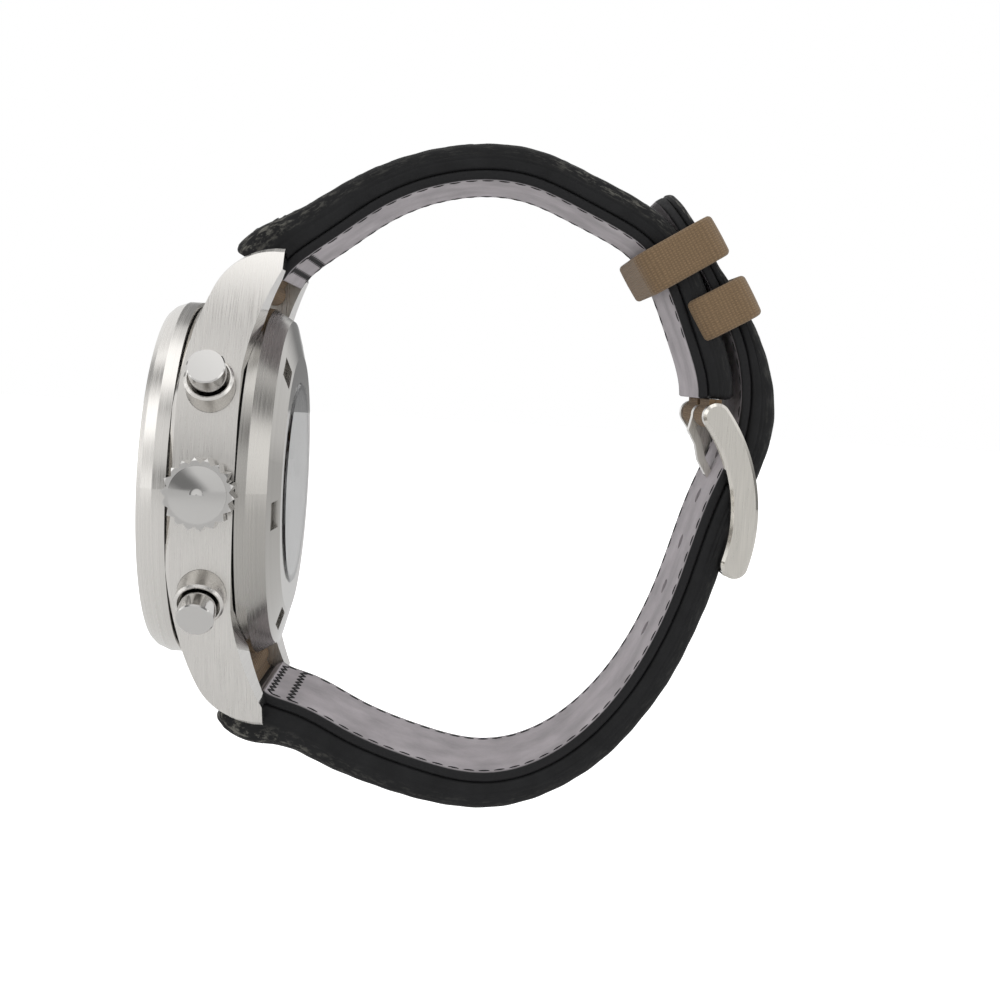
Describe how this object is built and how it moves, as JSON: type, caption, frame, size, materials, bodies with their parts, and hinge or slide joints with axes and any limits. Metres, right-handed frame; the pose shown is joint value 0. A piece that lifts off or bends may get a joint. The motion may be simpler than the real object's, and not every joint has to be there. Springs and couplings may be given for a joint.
{
  "type": "wrist watch",
  "caption": "Round pilot watch with crown and pushers, its leather strap buckled into a closed wrist loop; crown, pushers, hands and movement move.",
  "frame": {"origin": "middle of the closed wrist loop, level with the winding stem", "axes": "+Z to 12 o'clock, -X out of the dial, -Y along the winding stem to the crown"},
  "size_m": [0.0722, 0.0476, 0.0779],
  "materials": {
    "steel_brushed": "brushed, bevels polished",
    "steel_polished": "polished",
    "steel_warm": "brushed, light warm grey",
    "crystal": "clear",
    "gasket": "matt black",
    "dial": "matt black",
    "flange": "matt black",
    "date": "matt white",
    "hands": "pale, satin",
    "plates": "rhodium plated, satin",
    "wheels": "gilt",
    "movement_steel": "polished steel",
    "jewel": "clear red",
    "rotor": "brushed",
    "leather": "near black, painted edges",
    "lining": "grey mauve, grained",
    "textile": "tan woven band"
  },
  "bodies": {
    "case": {"mid_case": "steel_brushed", "bezel": "steel_brushed", "case_back": "steel_brushed", "crystal": "crystal", "back_crystal": "crystal", "gaskets": "gasket", "crown_tube": "steel_polished", "pusher_tubes": "steel_polished", "pusher_spring_start": "movement_steel", "pusher_spring_reset": "movement_steel", "movement_screws": "movement_steel", "rotor_bearing": "movement_steel", "hairspring": "movement_steel", "spring_bars": "movement_steel", "buckle_bar": "movement_steel", "dial": "dial", "dial_flange": "flange", "main_plate": "plates", "movement_ring": "plates", "barrel_bridge": "plates", "train_bridge": "plates", "balance_cock": "plates", "rotor_bridge": "plates", "jewels": "jewel", "strap_top": "leather", "strap_bottom": "leather", "lining_top": "lining", "lining_bottom": "lining", "bar_loops": "textile", "keeper_fixed": "textile"},
    "stem": {"winding_stem": "movement_steel"},
    "crown": {"crown": "steel_polished"},
    "setting": {"setting_lever": "movement_steel"},
    "start_button": {"pusher_start": "steel_polished"},
    "reset_button": {"pusher_reset": "steel_polished"},
    "start_arm": {"start_lever": "movement_steel"},
    "reset_arm": {"reset_lever": "movement_steel"},
    "seconds": {"seconds_wheel": "wheels", "small_seconds_hand": "hands"},
    "third": {"third_wheel": "wheels"},
    "minutes": {"centre_wheel": "wheels", "minute_hand": "hands"},
    "hours": {"hour_wheel": "wheels", "hour_hand": "hands"},
    "barrel": {"barrel": "wheels", "mainspring": "movement_steel"},
    "escape": {"escape_wheel": "movement_steel"},
    "date": {"date_disc": "date"},
    "fork": {"pallet_fork": "movement_steel"},
    "balance": {"balance_wheel": "wheels"},
    "chronograph": {"chrono_wheel": "wheels", "chrono_hand": "hands"},
    "minute_counter": {"minute_counter_wheel": "wheels", "minute_counter_hand": "hands"},
    "hour_counter": {"hour_counter_wheel": "wheels", "hour_counter_hand": "hands"},
    "rotor": {"rotor": "rotor"},
    "keeper": {"keeper_free": "textile"},
    "buckle": {"buckle_frame": "steel_warm"},
    "tang": {"buckle_tang": "steel_warm"}
  },
  "joints": [
    {"name": "crown_pull", "type": "slide", "parent": "case", "child": "stem", "axis": [0, -1, 0], "range_m": [0, 0.002]},
    {"name": "crown_turn", "type": "hinge", "parent": "stem", "child": "crown", "pos_m": [-0.032, -0.02413, 0], "axis": [0, -1, 0], "continuous": true},
    {"name": "setting_swing", "type": "hinge", "parent": "case", "child": "setting", "pos_m": [-0.03313, -0.0136, 0.0037], "axis": [-1, 0, 0], "range_deg": [0, 30.26]},
    {"name": "start_press", "type": "slide", "parent": "case", "child": "start_button", "axis": [0, 0.866, -0.5], "range_m": [0, 0.0013], "stiffness_N_per_m": 800, "springref_m": -0.001, "deforming": ["pusher_spring_start"]},
    {"name": "reset_press", "type": "slide", "parent": "case", "child": "reset_button", "axis": [0, 0.866, 0.5], "range_m": [0, 0.0013], "stiffness_N_per_m": 800, "springref_m": -0.001, "deforming": ["pusher_spring_reset"]},
    {"name": "start_lever_swing", "type": "hinge", "parent": "case", "child": "start_arm", "pos_m": [-0.0279, -0.0076, 0.0119], "axis": [1, 0, 0], "range_deg": [0, 11.46]},
    {"name": "reset_lever_swing", "type": "hinge", "parent": "case", "child": "reset_arm", "pos_m": [-0.0279, -0.0076, -0.0119], "axis": [-1, 0, 0], "range_deg": [0, 11.46]},
    {"name": "seconds_turn", "type": "hinge", "parent": "case", "child": "seconds", "pos_m": [-0.02965, 0.008, 0], "axis": [1, 0, 0], "continuous": true},
    {"name": "third_turn", "type": "hinge", "parent": "case", "child": "third", "pos_m": [-0.03005, 0.0046, 0.0042], "axis": [1, 0, 0], "continuous": true},
    {"name": "minutes_turn", "type": "hinge", "parent": "case", "child": "minutes", "pos_m": [-0.0307, 0, 0], "axis": [1, 0, 0], "continuous": true},
    {"name": "hours_turn", "type": "hinge", "parent": "case", "child": "hours", "pos_m": [-0.0337, 0, 0], "axis": [1, 0, 0], "continuous": true},
    {"name": "barrel_turn", "type": "hinge", "parent": "case", "child": "barrel", "pos_m": [-0.03005, -0.0048, -0.0052], "axis": [1, 0, 0], "continuous": true},
    {"name": "escape_turn", "type": "hinge", "parent": "case", "child": "escape", "pos_m": [-0.0304, 0.0112, -0.0044], "axis": [1, 0, 0], "continuous": true},
    {"name": "date_turn", "type": "hinge", "parent": "case", "child": "date", "pos_m": [-0.0345, 0, 0], "axis": [1, 0, 0], "continuous": true},
    {"name": "fork_swing", "type": "hinge", "parent": "case", "child": "fork", "pos_m": [-0.0304, 0.0089, -0.0066], "axis": [1, 0, 0], "range_deg": [-5, 5]},
    {"name": "balance_swing", "type": "hinge", "parent": "case", "child": "balance", "pos_m": [-0.0293, 0.0052, -0.0088], "axis": [1, 0, 0], "range_deg": [-135, 135], "stiffness_Nm_per_rad": 0.000000241},
    {"name": "chronograph_turn", "type": "hinge", "parent": "case", "child": "chronograph", "pos_m": [-0.02795, 0, 0], "axis": [1, 0, 0], "continuous": true},
    {"name": "minute_counter_turn", "type": "hinge", "parent": "case", "child": "minute_counter", "pos_m": [-0.02795, 0, 0.008], "axis": [1, 0, 0], "continuous": true},
    {"name": "hour_counter_turn", "type": "hinge", "parent": "case", "child": "hour_counter", "pos_m": [-0.0336, 0, -0.008], "axis": [1, 0, 0], "continuous": true},
    {"name": "rotor_turn", "type": "hinge", "parent": "case", "child": "rotor", "pos_m": [-0.02685, 0, 0], "axis": [1, 0, 0], "continuous": true},
    {"name": "keeper_slide", "type": "slide", "parent": "case", "child": "keeper", "axis": [0.5346, 0, -0.8451], "range_m": [-0.0008, 0.0008]},
    {"name": "buckle_swing", "type": "hinge", "parent": "case", "child": "buckle", "pos_m": [0.02526, 0, 0.01123], "axis": [0, -1, 0], "range_deg": [0, 2]},
    {"name": "tang_swing", "type": "hinge", "parent": "buckle", "child": "tang", "pos_m": [0.02526, 0, 0.01123], "axis": [0, -1, 0], "range_deg": [0, 2.5]}
  ],
  "couplings": [
    {"joint": "setting_swing", "follows": "crown_pull", "rad_per_m": 263.96},
    {"joint": "start_lever_swing", "follows": "start_press", "rad_per_m": 153.71},
    {"joint": "reset_lever_swing", "follows": "reset_press", "rad_per_m": 153.71},
    {"joint": "third_turn", "follows": "seconds_turn", "ratio": -0.13333},
    {"joint": "minutes_turn", "follows": "seconds_turn", "ratio": 0.016667},
    {"joint": "hours_turn", "follows": "seconds_turn", "ratio": 0.0013889},
    {"joint": "barrel_turn", "follows": "seconds_turn", "ratio": -0.0027778},
    {"joint": "escape_turn", "follows": "seconds_turn", "ratio": -10},
    {"joint": "date_turn", "follows": "seconds_turn", "ratio": 0.000022401},
    {"joint": "minute_counter_turn", "follows": "chronograph_turn", "ratio": 0.033333},
    {"joint": "hour_counter_turn", "follows": "chronograph_turn", "ratio": 0.0013889}
  ]
}
